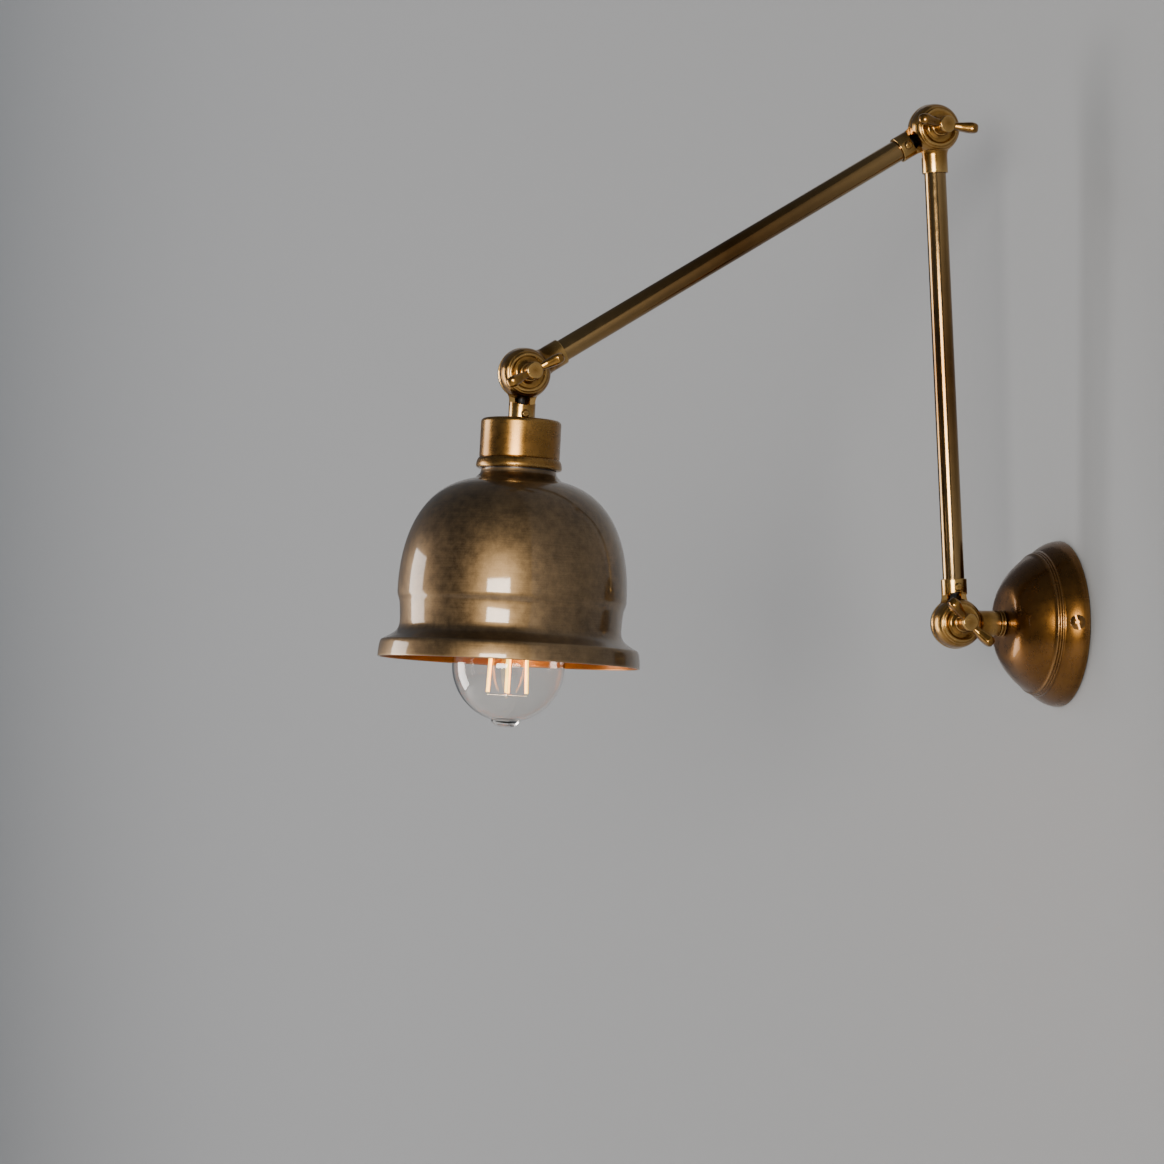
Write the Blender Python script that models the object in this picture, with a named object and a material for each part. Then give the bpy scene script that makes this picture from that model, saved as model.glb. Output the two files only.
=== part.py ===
"""Swing arm wall sconce in aged brass, as separate pieces on their real pivots.

Metres, +Z up. The origin is the centre of the canopy's back face, on the wall.
The wall's outward normal is -Y. The arms lie in the plane X = 0 at rest and
every knuckle pivots about an axis along X, with its thumb screw on the +X side.
"""
import math

import bmesh
import bpy
from mathutils import Matrix, Vector

MM = 0.001

# wall plate
CANOPY_R = 49.0          # rim radius of the canopy
RIDGE_R = 42.0           # radius of the three fine ridges
RIDGE_D = 14.7           # their distance from the wall
CROWN_D = 35.0           # depth of the flat crown
DOME_R = 48.0            # radius of the dome between ridges and crown
SHEET = 1.4              # canopy wall thickness
SCREW_SEAT = (47.05, 7.3)   # side screws: on the flank, from the axis and from the wall
SCREW_TILT = 27.0        # square to the flank there

# arms
PIVOT_OUT = 64.8         # base pivot to wall
ARM = 291.0              # pivot to pivot, both arms
LEAN_LOWER = 87.4        # lower arm above the horizontal, outwards
LEAN_UPPER = -31.0       # upper arm, outwards and down
LEAN_HEAD = -86.9        # lampholder axis, nearly straight down
TUBE_R = 6.4
TUBE_BORE = 5.4
FLEX_R = 2.4

# knuckles
BALL_R = 15.0
DRUM_R = 14.6
STEM_R = 7.65
STEM_END = 26.0          # pivot to the end of the socket
SADDLE_R = 18.4          # the other half's stem is cut back to this
CAVITY_R = 11.5
HUB_R = 6.5
SEAT = 19.0              # where the tube's end sits, from the pivot
BORE_R = 4.5
SCREW_R = 3.0
GRUB_R = 2.2             # set screws
GAP = 0.3

# lamp head, distances along its axis from the head pivot
CAP_TOP = 26.4
CAP_R = 23.0
CAP_END = 55.0
BEAD_R = 24.6
NECK_R = 22.4
DOME_TOP = 59.4
BULGE_R = 65.4
BULGE_S = 127.5
WAIST_R = 62.9
WAIST_S = 143.0
LIP_R = 74.8
LIP_TOP = 154.8
SHADE_END = 165.3
SHADE_T = 1.1

# bulb
BULB_R = 32.2
BULB_MID = 167.0
BULB_TOP = 59.9          # its centre contact


def clear_scene():
    for ob in list(bpy.data.objects):
        bpy.data.objects.remove(ob, do_unlink=True)
    for me in list(bpy.data.meshes):
        bpy.data.meshes.remove(me)


def material(name, colour, rough, metal, **extra):
    mat = bpy.data.materials.new(name)
    mat.use_nodes = True
    bsdf = mat.node_tree.nodes["Principled BSDF"]
    bsdf.inputs["Base Color"].default_value = (*colour, 1.0)
    bsdf.inputs["Roughness"].default_value = rough
    bsdf.inputs["Metallic"].default_value = metal
    for key, value in extra.items():
        bsdf.inputs[key].default_value = value
    mat.diffuse_color = (*colour, 1.0)
    return mat


def brass(name):
    return material(name, (0.40, 0.25, 0.11), 0.30, 1.0)


def dark_brass(name):
    return material(name, (0.19, 0.13, 0.07), 0.34, 1.0)


def warm_brass(name):
    return material(name, (0.27, 0.14, 0.05), 0.26, 1.0)


def plated_steel(name):
    return material(name, (0.55, 0.54, 0.50), 0.35, 1.0)


def black_insulation(name):
    return material(name, (0.015, 0.015, 0.016), 0.5, 0.0)


def moulded_black(name):
    return material(name, (0.02, 0.02, 0.022), 0.35, 0.0)


def clear_glass(name):
    return material(name, (1.0, 1.0, 1.0), 0.02, 0.0,
                    **{"Transmission Weight": 1.0, "Alpha": 0.35})


def bright_metal(name):
    return material(name, (0.7, 0.69, 0.66), 0.25, 1.0)


def glowing(name):
    mat = material(name, (1.0, 0.72, 0.30), 0.4, 0.0)
    bsdf = mat.node_tree.nodes["Principled BSDF"]
    bsdf.inputs["Emission Color"].default_value = (1.0, 0.62, 0.22, 1.0)
    bsdf.inputs["Emission Strength"].default_value = 6.0
    return mat


# placing -------------------------------------------------------------------

def direction(lean):
    """Unit vector in the plane X = 0; lean is above the horizontal, outwards."""
    a = math.radians(lean)
    return Vector((0.0, -math.cos(a), math.sin(a)))


def empty(name, where, lean):
    """An axis marker whose local Z points along the given lean."""
    ob = bpy.data.objects.new(name, None)
    ob.empty_display_size = 0.02
    ob.location = where
    ob.rotation_euler = (math.radians(90.0 - lean), 0.0, 0.0)
    bpy.context.collection.objects.link(ob)
    return ob


def add(name, bm, parent, make_material):
    """Turn a bmesh, in millimetres, into a smooth-shaded object on its parent."""
    bmesh.ops.scale(bm, vec=(MM, MM, MM), verts=bm.verts)
    bmesh.ops.recalc_face_normals(bm, faces=bm.faces)
    me = bpy.data.meshes.new(name)
    bm.to_mesh(me)
    bm.free()
    me.shade_smooth()
    me.set_sharp_from_angle(angle=math.radians(32.0))
    ob = bpy.data.objects.new(name, me)
    bpy.context.collection.objects.link(ob)
    ob.parent = parent
    if make_material:
        me.materials.append(make_material(name + "_finish"))
    return ob


def boolean(ob, other, operation="DIFFERENCE"):
    mod = ob.modifiers.new(other.name, "BOOLEAN")
    mod.operation = operation
    mod.solver = "EXACT"
    mod.object = other
    other.hide_render = True
    other.display_type = "WIRE"


# shapes --------------------------------------------------------------------

def lathe(profile, steps, axis="Z"):
    """Spin a list of (radius, height). A profile that starts and ends on the
    axis closes itself; any other is closed into a ring."""
    bm = bmesh.new()
    verts = [bm.verts.new((r, 0.0, h)) for r, h in profile]
    edges = [bm.edges.new(pair) for pair in zip(verts, verts[1:])]
    on_axis = profile[0][0] == 0.0 and profile[-1][0] == 0.0
    if not on_axis:
        edges.append(bm.edges.new((verts[-1], verts[0])))
    bmesh.ops.spin(bm, geom=verts + edges, cent=(0, 0, 0), axis=(0, 0, 1),
                   angle=2.0 * math.pi, steps=steps, use_merge=True)
    bmesh.ops.remove_doubles(bm, verts=bm.verts, dist=0.0005)
    if axis == "X":
        bmesh.ops.transform(bm, matrix=Matrix.Rotation(math.pi / 2, 4, "Y"), verts=bm.verts)
    return bm


def bar(size, centre, bevel=0.0):
    bm = bmesh.new()
    bmesh.ops.create_cube(bm, size=1.0)
    bmesh.ops.scale(bm, vec=size, verts=bm.verts)
    bmesh.ops.translate(bm, vec=centre, verts=bm.verts)
    if bevel:
        bmesh.ops.bevel(bm, geom=bm.edges[:], offset=bevel, segments=1, affect="EDGES")
    return bm


def moved(bm, matrix):
    bmesh.ops.transform(bm, matrix=matrix, verts=bm.verts)
    return bm


def rod(radius, low, high, steps=16, chamfer=0.0):
    c = chamfer
    if c:
        return [(0.0, low), (radius - c, low), (radius, low + c), (radius, high - c),
                (radius - c, high), (0.0, high)]
    return [(0.0, low), (radius, low), (radius, high), (0.0, high)]


def pipe(outer, inner, low, high):
    return [(outer, low), (outer, high), (inner, high), (inner, low)]


def arc(centre, radius, start, stop, count):
    """Points (r, h) on an arc; angles in degrees from the +r direction."""
    out = []
    for i in range(count + 1):
        a = math.radians(start + (stop - start) * i / count)
        out.append((centre[0] + radius * math.cos(a), centre[1] + radius * math.sin(a)))
    return out


def shell(outer, thickness):
    """Close an outer profile with a copy of itself offset to its left side."""
    inner = []
    last = len(outer) - 1
    for i, (r, h) in enumerate(outer):
        a = outer[max(i - 1, 0)]
        b = outer[min(i + 1, last)]
        dr, dh = b[0] - a[0], b[1] - a[1]
        size = math.hypot(dr, dh)
        inner.append((r - thickness * dh / size, h + thickness * dr / size))
    return outer + inner[::-1]


# wall side -----------------------------------------------------------------

def canopy_profile():
    """Rim, convex flank, three ridges, round dome, flat crown with a hole."""
    flank = []
    for i in range(4):
        u = i / 3.0
        flank.append((CANOPY_R - 6.2 * u ** 2.0, 13.2 * u))
    ridges = []
    for i in range(3):
        d = RIDGE_D - 0.9 + 1.25 * i
        r = RIDGE_R + 0.35 - 0.75 * i
        ridges += [(r - 0.2, d - 0.4), (r + 0.3, d)]
    base = RIDGE_D - math.sqrt(DOME_R ** 2 - RIDGE_R ** 2)
    dome = []
    for i in range(6):
        r = 39.8 - (39.8 - 17.0) * i / 5.0
        d = base + math.sqrt(DOME_R ** 2 - r ** 2)
        dome.append((r, min(d, CROWN_D - 0.0007 * (r - 10.0) ** 2)))
    crown = [(11.0, CROWN_D), (5.3, CROWN_D)]
    return flank + ridges + dome + crown


def make_wall_side(root):
    outside = canopy_profile()
    plain = outside[:4] + outside[10:]
    inside = shell(plain, SHEET)[len(plain):]
    inside[-1] = (CANOPY_R - SHEET, 0.0)
    canopy = add("canopy", lathe(outside + inside, 28), root, warm_brass)
    for side in (1.0, -1.0):
        hole = add("cut_canopy_hole_%s" % ("r" if side > 0 else "l"),
                   moved(lathe(rod(2.1, -6.0, 6.0), 12, "X"), screw_place(side)), root, None)
        boolean(canopy, hole)
    make_bracket(root)
    for name, side in (("canopy_screw_right", 1.0), ("canopy_screw_left", -1.0)):
        make_canopy_screw(name, side, root)
    make_terminals(root)
    collar = [(7.3, CROWN_D + 0.3), (STEM_R, CROWN_D + 0.7), (STEM_R, CROWN_D + 1.2), (7.2, CROWN_D + 1.5),
              (STEM_R, CROWN_D + 1.8), (STEM_R, CROWN_D + 3.3), (5.5, CROWN_D + 3.3), (5.5, CROWN_D + 0.3)]
    add("stem_collar", lathe(collar, 20), root, brass)


def make_bracket(root):
    bracket = add("wall_bracket", bar((82.0, 22.0, 2.0), (0, 0, 1.0)), root, plated_steel)
    for side in (1.0, -1.0):
        tab = add("cut_tab_%s" % ("r" if side > 0 else "l"),
                  bar((1.8, 14.0, 9.6), (side * 40.1, 0.0, 5.2)), root, None)
        boolean(bracket, tab, "UNION")
        slot = add("cut_slot_%s" % ("r" if side > 0 else "l"),
                   bar((9.0, 4.6, 6.0), (side * 30.0, 0.0, 1.3)), root, None)
        boolean(bracket, slot)
    for side in (1.0, -1.0):
        hole = add("cut_bracket_hole_%s" % ("r" if side > 0 else "l"),
                   moved(lathe(rod(1.9, -10.5, -3.0), 12, "X"), screw_place(side)), root, None)
        boolean(bracket, hole)


def screw_place(side):
    """Square to the canopy's flank at one side, where its screw goes through."""
    tilt = math.radians(-SCREW_TILT)
    there = Matrix.Translation((SCREW_SEAT[0], 0.0, SCREW_SEAT[1])) @ Matrix.Rotation(tilt, 4, "Y")
    return there if side > 0 else Matrix.Rotation(math.pi, 4, "Z") @ there


def make_canopy_screw(name, side, root):
    """Slotted dome head on the flank, its shank through it into the bracket."""
    profile = [(0.0, -8.3), (1.5, -8.3), (1.5, 0.3), (4.0, 0.3), (3.9, 1.3), (2.6, 2.3), (0.0, 2.6)]
    screw = add(name, moved(lathe(profile, 14, "X"), screw_place(side)), root, brass)
    slot = bar((2.0, 0.9, 12.0), (2.7, 0.0, 0.0))
    moved(slot, Matrix.Rotation(math.radians(-72.0), 4, "X"))
    cutter = add("cut_" + name, moved(slot, screw_place(side)), root, None)
    boolean(screw, cutter)


def make_terminals(root):
    block = add("terminal_block", bar((22.0, 15.0, 9.0), (-16.0, 0.0, 6.8), 0.6), root, moulded_black)
    for i, y in enumerate((-3.6, 3.6)):
        well = add("cut_terminal_%d" % i, lathe(rod(1.5, 6.0, 20.0), 10), root, None)
        well.location = (-16.0 * MM, y * MM, 0.0)
        boolean(block, well)
    head = [(0.0, 2.3), (3.2, 2.3), (3.2, 3.7), (2.3, 4.6), (0.0, 4.7)]
    earth = add("earth_screw", lathe(head, 16), root, brass)
    earth.location = (16.0 * MM, 0.0, 0.0)
    points = [(-2.0, 0.0, 8.0), (1.0, 0.0, 10.0), (0.6, 0.0, 14.0), (0.0, 0.0, 19.0), (0.0, 0.0, 47.5)]
    path = smooth_path([Vector(p) for p in points], 2)
    flex_run("supply_flex", path, 2.2, root)


def smooth_path(points, rounds):
    """Corner cutting that keeps both ends."""
    for _ in range(rounds):
        out = [points[0]]
        for a, b in zip(points, points[1:]):
            out.append(a.lerp(b, 0.25))
            out.append(a.lerp(b, 0.75))
        out.append(points[-1])
        points = out
    return points


def flex_run(name, points, radius, parent):
    """A round black cable along points in millimetres, ends filled."""
    curve = bpy.data.curves.new(name, "CURVE")
    curve.dimensions = "3D"
    curve.bevel_depth = radius * MM
    curve.bevel_resolution = 1
    curve.use_fill_caps = True
    spline = curve.splines.new("POLY")
    spline.points.add(len(points) - 1)
    for slot, p in zip(spline.points, points):
        slot.co = (p.x * MM, p.y * MM, p.z * MM, 1.0)
    ob = bpy.data.objects.new(name, curve)
    bpy.context.collection.objects.link(ob)
    ob.parent = parent
    curve.materials.append(black_insulation(name + "_finish"))
    return ob


# knuckles ------------------------------------------------------------------

def front_profile():
    """Drum with stepped rings on its face, raised hub, annular wire space."""
    face = [(13.9, 9.0), (12.8, 9.1), (12.6, 10.1), (11.2, 10.3), (11.0, 11.2), (8.4, 11.9), (5.4, 13.5)]
    outer = [(DRUM_R, 0.15), (DRUM_R, 8.2)] + face
    inner = [(SCREW_R + GAP, 13.5), (SCREW_R + GAP, 0.8), (HUB_R, 0.8), (HUB_R, 5.0),
             (CAVITY_R, 5.0), (CAVITY_R, 0.15)]
    return outer + inner


def back_profile():
    """Plain hemisphere with the same wire space and a blind screw hole."""
    ball = [(r, -h) for r, h in arc((0.0, 0.0), BALL_R, 0.6, 78.0, 6)]
    inner = [(CAVITY_R, -0.15), (CAVITY_R, -5.0), (HUB_R, -5.0), (HUB_R, -0.8),
             (SCREW_R + GAP, -0.8), (SCREW_R + GAP, -10.0), (0.0, -10.0)]
    return [(0.0, -BALL_R)] + ball[::-1] + inner


def make_half(name, front, parent, seat_r, screw_s=None):
    """One knuckle half: turned body, radial socket stem, saddle and wire bore."""
    profile = front_profile() if front else back_profile()
    half = add(name, lathe(profile, 20, "X"), parent, brass)
    stem = add("cut_%s_stem" % name, lathe(rod(STEM_R, 12.0, STEM_END, chamfer=0.5), 16), parent, None)
    boolean(half, stem, "UNION")
    low, high = (-20.0, 0.15) if front else (-0.15, 20.0)
    saddle_r = [(0.0, low), (SADDLE_R, low), (SADDLE_R, high), (0.0, high)]
    saddle_stem = add("cut_%s_saddle" % name, lathe(saddle_r, 28, "X"), parent, None)
    boolean(half, saddle_stem)
    bore = [(0.0, 8.5), (BORE_R, 8.5), (BORE_R, SEAT), (seat_r, SEAT), (seat_r, 30.0), (0.0, 30.0)]
    wire = add("cut_%s_bore" % name, lathe(bore, 14), parent, None)
    boolean(half, wire)
    if screw_s:
        hole = add("cut_%s_grub" % name, lathe(rod(GRUB_R + GAP, 3.0, 12.0), 8, "X"), parent, None)
        hole.location = (0.0, 0.0, screw_s * MM)
        boolean(half, hole)
    return half


def make_set_screw(name, parent, s, base):
    """Small slotted screw in the socket's wall, facing +X."""
    profile = [(0.0, base), (GRUB_R, base), (GRUB_R, 8.0), (GRUB_R - 0.5, 8.5), (0.0, 8.6)]
    screw = add(name, lathe(profile, 10, "X"), parent, brass)
    screw.location = (0.0, 0.0, s * MM)
    slot = add("cut_" + name, bar((0.9, 6.0, 0.6), (8.6, 0.0, 0.0)), parent, None)
    slot.location = screw.location
    boolean(screw, slot)


def make_washer(name, parent):
    add(name, lathe(pipe(6.3, SCREW_R + GAP, -0.5, 0.5), 16, "X"), parent, plated_steel)


def wing(angle):
    """A flat thumb wing: a bar swept forwards, its outer end round."""
    bm = bmesh.new()
    outline = [(3.0, 16.8), (8.0, 18.0), (13.0, 20.4)]
    outline += [(x, h) for x, h in arc((14.1, 25.0), 4.4, -85.0, 95.0, 6)]
    outline += [(9.0, 26.2), (3.0, 23.6)]
    verts = [bm.verts.new((h, x, -2.2)) for x, h in outline]
    face = bm.faces.new(verts)
    grown = bmesh.ops.extrude_face_region(bm, geom=[face])
    top = [v for v in grown["geom"] if isinstance(v, bmesh.types.BMVert)]
    bmesh.ops.translate(bm, vec=(0, 0, 4.4), verts=top)
    rims = [e for e in bm.edges if abs(e.verts[0].co.z - e.verts[1].co.z) < 0.01]
    bmesh.ops.bevel(bm, geom=rims, offset=0.7, segments=1, affect="EDGES")
    return moved(bm, Matrix.Rotation(math.radians(angle), 4, "X"))


def make_thumb_screw(name, parent, angle):
    profile = [(0.0, -9.5), (2.6, -9.5), (SCREW_R, -9.0), (SCREW_R, 13.8), (4.0, 13.8), (4.0, 15.4),
               (4.9, 16.0), (4.9, 24.3), (4.3, 25.0), (0.0, 25.0)]
    pivot = bpy.data.objects.new(name + "_axis", None)
    bpy.context.collection.objects.link(pivot)
    pivot.parent = parent
    pivot.rotation_euler = (math.radians(angle), 0.0, 0.0)
    screw = add(name, lathe(profile, 16, "X"), pivot, brass)
    for tag, turn in (("a", 0.0), ("b", 180.0)):
        part = add("cut_%s_wing_%s" % (name, tag), wing(turn), pivot, None)
        boolean(screw, part, "UNION")


def knuckle_flex(name, pivot, front_lean, back_lean):
    """Flex from the front stem, round the hub, out of the back stem."""
    ends = []
    turn = (back_lean - front_lean + 180.0) % 360.0 - 180.0
    for lean, side in ((front_lean, 1.0), (back_lean, -1.0)):
        way = direction(lean)
        ends.append([way * 16.6 + Vector((1.7 * side, 0, 0)), way * 15.6 + Vector((2.35 * side, 0, 0)),
                     way * 10.0 + Vector((2.35 * side, 0, 0))])
    middle = []
    for i in range(1, 6):
        u = i / 6.0
        side = 2.35 * (1.0 - 2.0 * u)
        middle.append(direction(front_lean + turn * u) * 9.1 + Vector((side, 0, 0)))
    points = ends[0] + middle + ends[1][::-1]
    flex_run(name, smooth_path(points, 1), 1.85, pivot)


def make_nut(name, low, high, parent):
    """Hexagon nut with a round hole that clears the nipple."""
    nut = add(name, lathe(rod(8.4, low, high), 6), parent, brass)
    hole = add("cut_" + name, lathe(rod(5.3, low - 2.0, high + 2.0), 20), parent, None)
    boolean(nut, hole)


# tubes ---------------------------------------------------------------------

def make_tube(name, parent):
    tube = pipe(TUBE_R, TUBE_BORE, SEAT + GAP, ARM - SEAT - GAP)
    add(name + "_tube", lathe(tube, 24), parent, brass)
    add(name + "_flex", lathe(rod(FLEX_R, 17.2, ARM - 17.2), 12), parent, black_insulation)


# lamp head -----------------------------------------------------------------

def cap_profile():
    shoulder = arc((CAP_R - 2.4, CAP_TOP + 2.4), 2.4, -90.0, 0.0, 3)
    band = [(CAP_R - 0.4, 49.2), (BEAD_R - 0.9, 50.1), (BEAD_R - 0.2, 52.0), (BEAD_R, 53.3), (BEAD_R - 0.5, 54.6)]
    outer = [(5.4, CAP_TOP)] + shoulder + [(CAP_R, 48.8)] + band + [(BEAD_R - 1.2, CAP_END)]
    inner = [(CAP_R - 2.0, CAP_END), (CAP_R - 2.0, CAP_TOP + 4.0), (CAP_R - 4.0, CAP_TOP + 2.0),
             (5.4, CAP_TOP + 2.0)]
    return outer + inner


def shade_profile():
    """Neck, domed bell, soft step, straight waist, flare and lip, outside."""
    pts = [(NECK_R, 55.6), (NECK_R, DOME_TOP - 0.4)]
    for i in range(11):
        u = 1.0 - (i / 10.0) ** 1.7
        s = BULGE_S - (BULGE_S - DOME_TOP) * u ** 0.95
        v = (BULGE_S - s) / (BULGE_S - DOME_TOP)
        r = BULGE_R * max(1.0 - v ** 2.2, 0.0) ** (1.0 / 3.1)
        if r > NECK_R + 1.5:
            pts.append((r, s))
    pts += [(BULGE_R - 0.25, 129.9), (BULGE_R - 0.8, 132.7), (BULGE_R - 1.6, 135.3), (WAIST_R + 0.35, 138.2)]
    pts += [(WAIST_R, WAIST_S), (WAIST_R + 0.1, 146.2), (WAIST_R + 0.7, 148.2), (WAIST_R + 2.3, 150.3)]
    pts += [(WAIST_R + 5.5, 152.5), (LIP_R - 2.6, LIP_TOP), (LIP_R - 1.5, LIP_TOP + 1.1)]
    pts += [(LIP_R - 0.9, LIP_TOP + 3.4), (LIP_R, SHADE_END)]
    return pts


def threads(radius, depth, low, high, pitch):
    """A ridged profile that stands for a round thread, from low to high."""
    out = []
    count = int((high - low) / pitch)
    for i in range(count):
        s = low + i * pitch
        out.append((radius - depth, s))
        out.append((radius, s + pitch * 0.5))
    out.append((radius - depth, low + count * pitch))
    return out


def make_lampholder(parent):
    add("neck_nipple", lathe(pipe(5.0, 3.3, SEAT + GAP, 33.0), 20), parent, brass)
    make_nut("neck_lock_nut", 28.8, 31.6, parent)
    add("lampholder_cap", lathe(cap_profile(), 28), parent, brass)
    body = [(3.4, 33.6), (17.0, 33.6), (20.0, 36.0), (20.0, 84.0), (14.9, 84.0), (14.9, 57.0), (3.4, 57.0)]
    add("lampholder_body", lathe(body, 24), parent, moulded_black)
    shell_out = [(14.6, 83.0), (14.6, 61.5)]
    ridged = threads(14.2, 0.6, 62.0, 82.6, 5.1)
    add("screw_shell", lathe(shell_out + ridged, 14), parent, brass)
    contact = bar((9.0, 4.0, 0.6), (0.0, 0.0, 58.6))
    foot = bar((1.2, 4.0, 2.0), (-3.9, 0.0, 58.3))
    tongue = add("centre_contact", contact, parent, brass)
    heel = add("cut_contact_heel", foot, parent, None)
    boolean(tongue, heel, "UNION")
    ring = [(20.4, 62.8), (25.0, 62.8), (25.0, 64.6), (23.3, 65.0), (23.3, 69.6), (20.4, 69.6)]
    add("shade_ring", lathe(ring, 24), parent, brass)
    outside = shade_profile()
    inside = shell(outside, SHADE_T)[len(outside):]
    inside = inside[:1] + inside[1:-2:2] + inside[-2:]
    add("shade", lathe(outside + inside, 32), parent, dark_brass)


def bulb_outline():
    """Neck widening smoothly into the round end, from the cap down to the pip."""
    out = [(11.6, 82.5), (11.7, 86.2), (13.4, 88.6)]
    join = 18.0
    top_s = BULB_MID - BULB_R * math.sin(math.radians(join))
    top_r = BULB_R * math.cos(math.radians(join))
    for i in range(1, 6):
        u = i / 6.0
        s = 88.6 + (top_s - 88.6) * u
        out.append((13.4 + (top_r - 13.4) * (u ** 1.15) * (1.6 - 0.6 * u), s))
    for r, s in arc((0.0, BULB_MID), BULB_R, -join, 76.0, 7):
        out.append((r, s))
    out += [(6.6, 198.9), (5.2, 200.9), (2.8, 201.9)]
    return out


def make_bulb(parent):
    cap_out = [(12.2, 63.4)] + threads(13.3, 0.7, 64.0, 82.0, 4.5) + [(13.3, 86.0)]
    cap_in = [(12.2, 86.0), (12.0, 63.4)]
    add("bulb_cap", lathe(cap_out + cap_in, 14), parent, bright_metal)
    cone = [(0.0, 61.2), (5.0, 61.2), (11.6, 63.2), (11.6, 65.2), (0.0, 65.2)]
    add("bulb_insulator", lathe(cone, 20), parent, moulded_black)
    add("bulb_contact", lathe(rod(4.2, 59.6, 60.9), 16), parent, bright_metal)
    add("bulb_glass", lathe(glass_loop(bulb_outline()), 20), parent, clear_glass)
    stem = [(0.0, 84.8), (8.6, 84.8), (4.6, 100.0), (2.9, 112.0), (2.9, 128.0), (1.4, 133.0), (0.0, 133.4)]
    add("bulb_stem", lathe(stem, 18), parent, clear_glass)
    make_filaments(parent)


def glass_loop(outline):
    """Outside down to the pip, then back up the inside, open at the neck."""
    skin = shell(outline, 0.8)
    outer = skin[:len(outline)]
    inner = skin[len(outline):]
    inner = [(r, s) for r, s in inner if r > 7.5]
    inner = inner[:-2:2] + inner[-2:]
    return [(0.0, 198.4)] + inner + outer + [(0.0, 202.1)]


def make_filaments(parent):
    for i in range(4):
        a = math.radians(22.0 + 90.0 * i)
        low = Vector((12.2 * math.cos(a), 12.2 * math.sin(a), 182.4))
        high = Vector((8.0 * math.cos(a), 8.0 * math.sin(a), 139.0))
        strand = lathe(rod(0.9, 0.0, (high - low).length), 8)
        turn = (high - low).to_track_quat("Z", "Y").to_matrix().to_4x4()
        moved(strand, Matrix.Translation(low) @ turn)
        add("filament_%d" % (i + 1), strand, parent, glowing)
    for name, hub, reach, s, length in (("lower_filament_wire", 0.9, 12.6, 183.8, 1.2),
                                        ("upper_filament_wire", 2.2, 8.4, 137.2, 1.2)):
        centre = add(name, lathe(rod(hub, s - length / 2, s + length / 2), 10), parent, bright_metal)
        for i in range(2):
            spoke = bar((2.0 * reach, 0.8, 0.8), (0.0, 0.0, s))
            moved(spoke, Matrix.Rotation(math.radians(22.0 + 90.0 * i), 4, "Z"))
            arm = add("cut_%s_%d" % (name, i), spoke, parent, None)
            boolean(centre, arm, "UNION")


# assembly ------------------------------------------------------------------

def main():
    clear_scene()
    base = Vector((0.0, -PIVOT_OUT * MM, 0.0))
    elbow = base + direction(LEAN_LOWER) * ARM * MM
    head = elbow + direction(LEAN_UPPER) * ARM * MM

    wall = empty("wall_frame", (0, 0, 0), 0.0)
    make_wall_side(wall)

    stem = empty("base_front_axis", base, 180.0)
    make_half("base_front_half", True, stem, 5.3)
    add("canopy_nipple", lathe(pipe(5.0, 3.3, SEAT + GAP, 45.0), 20), stem, brass)
    inner_face = PIVOT_OUT - CROWN_D + SHEET + 0.3
    add("canopy_washer", lathe(pipe(9.0, 5.3, inner_face, inner_face + 1.2), 24), stem, plated_steel)
    make_nut("canopy_lock_nut", inner_face + 1.5, inner_face + 5.0, stem)

    lower = empty("lower_arm_axis", base, LEAN_LOWER)
    make_half("base_back_half", False, lower, TUBE_R + GAP, 21.2)
    make_set_screw("base_set_screw", lower, 21.2, TUBE_R + 0.35)
    make_washer("base_washer", lower)
    make_thumb_screw("base_thumb_screw", lower, -47.0 - (90.0 - LEAN_LOWER))
    make_tube("lower_arm", lower)

    lower_top = empty("lower_arm_top", elbow, LEAN_LOWER + 180.0)
    make_half("elbow_front_half", True, lower_top, TUBE_R + GAP)

    upper = empty("upper_arm_axis", elbow, LEAN_UPPER)
    make_half("elbow_back_half", False, upper, TUBE_R + GAP, 21.2)
    make_set_screw("elbow_set_screw", upper, 21.2, TUBE_R + 0.35)
    make_washer("elbow_washer", upper)
    make_thumb_screw("elbow_thumb_screw", upper, -10.0 - (90.0 - LEAN_UPPER))
    make_tube("upper_arm", upper)

    upper_end = empty("upper_arm_end", head, LEAN_UPPER + 180.0)
    make_half("head_front_half", True, upper_end, TUBE_R + GAP)

    lamp = empty("head_axis", head, LEAN_HEAD)
    make_half("head_back_half", False, lamp, 5.3, 23.4)
    make_set_screw("head_set_screw", lamp, 23.4, 5.4)
    make_washer("head_washer", lamp)
    make_thumb_screw("head_thumb_screw", lamp, 27.0 - (90.0 - LEAN_HEAD))
    make_lampholder(lamp)
    make_bulb(lamp)

    for name, where, front, back in (("base_flex", base, 180.0, LEAN_LOWER),
                                     ("elbow_flex", elbow, LEAN_LOWER + 180.0, LEAN_UPPER),
                                     ("head_flex", head, LEAN_UPPER + 180.0, LEAN_HEAD)):
        place = empty(name + "_place", where, 90.0)
        knuckle_flex(name, place, front, back)


main()
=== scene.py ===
"""Swing arm wall sconce in aged brass: the looks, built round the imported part."""

import bpy
import numpy as np
from mathutils import Matrix, Vector


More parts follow.
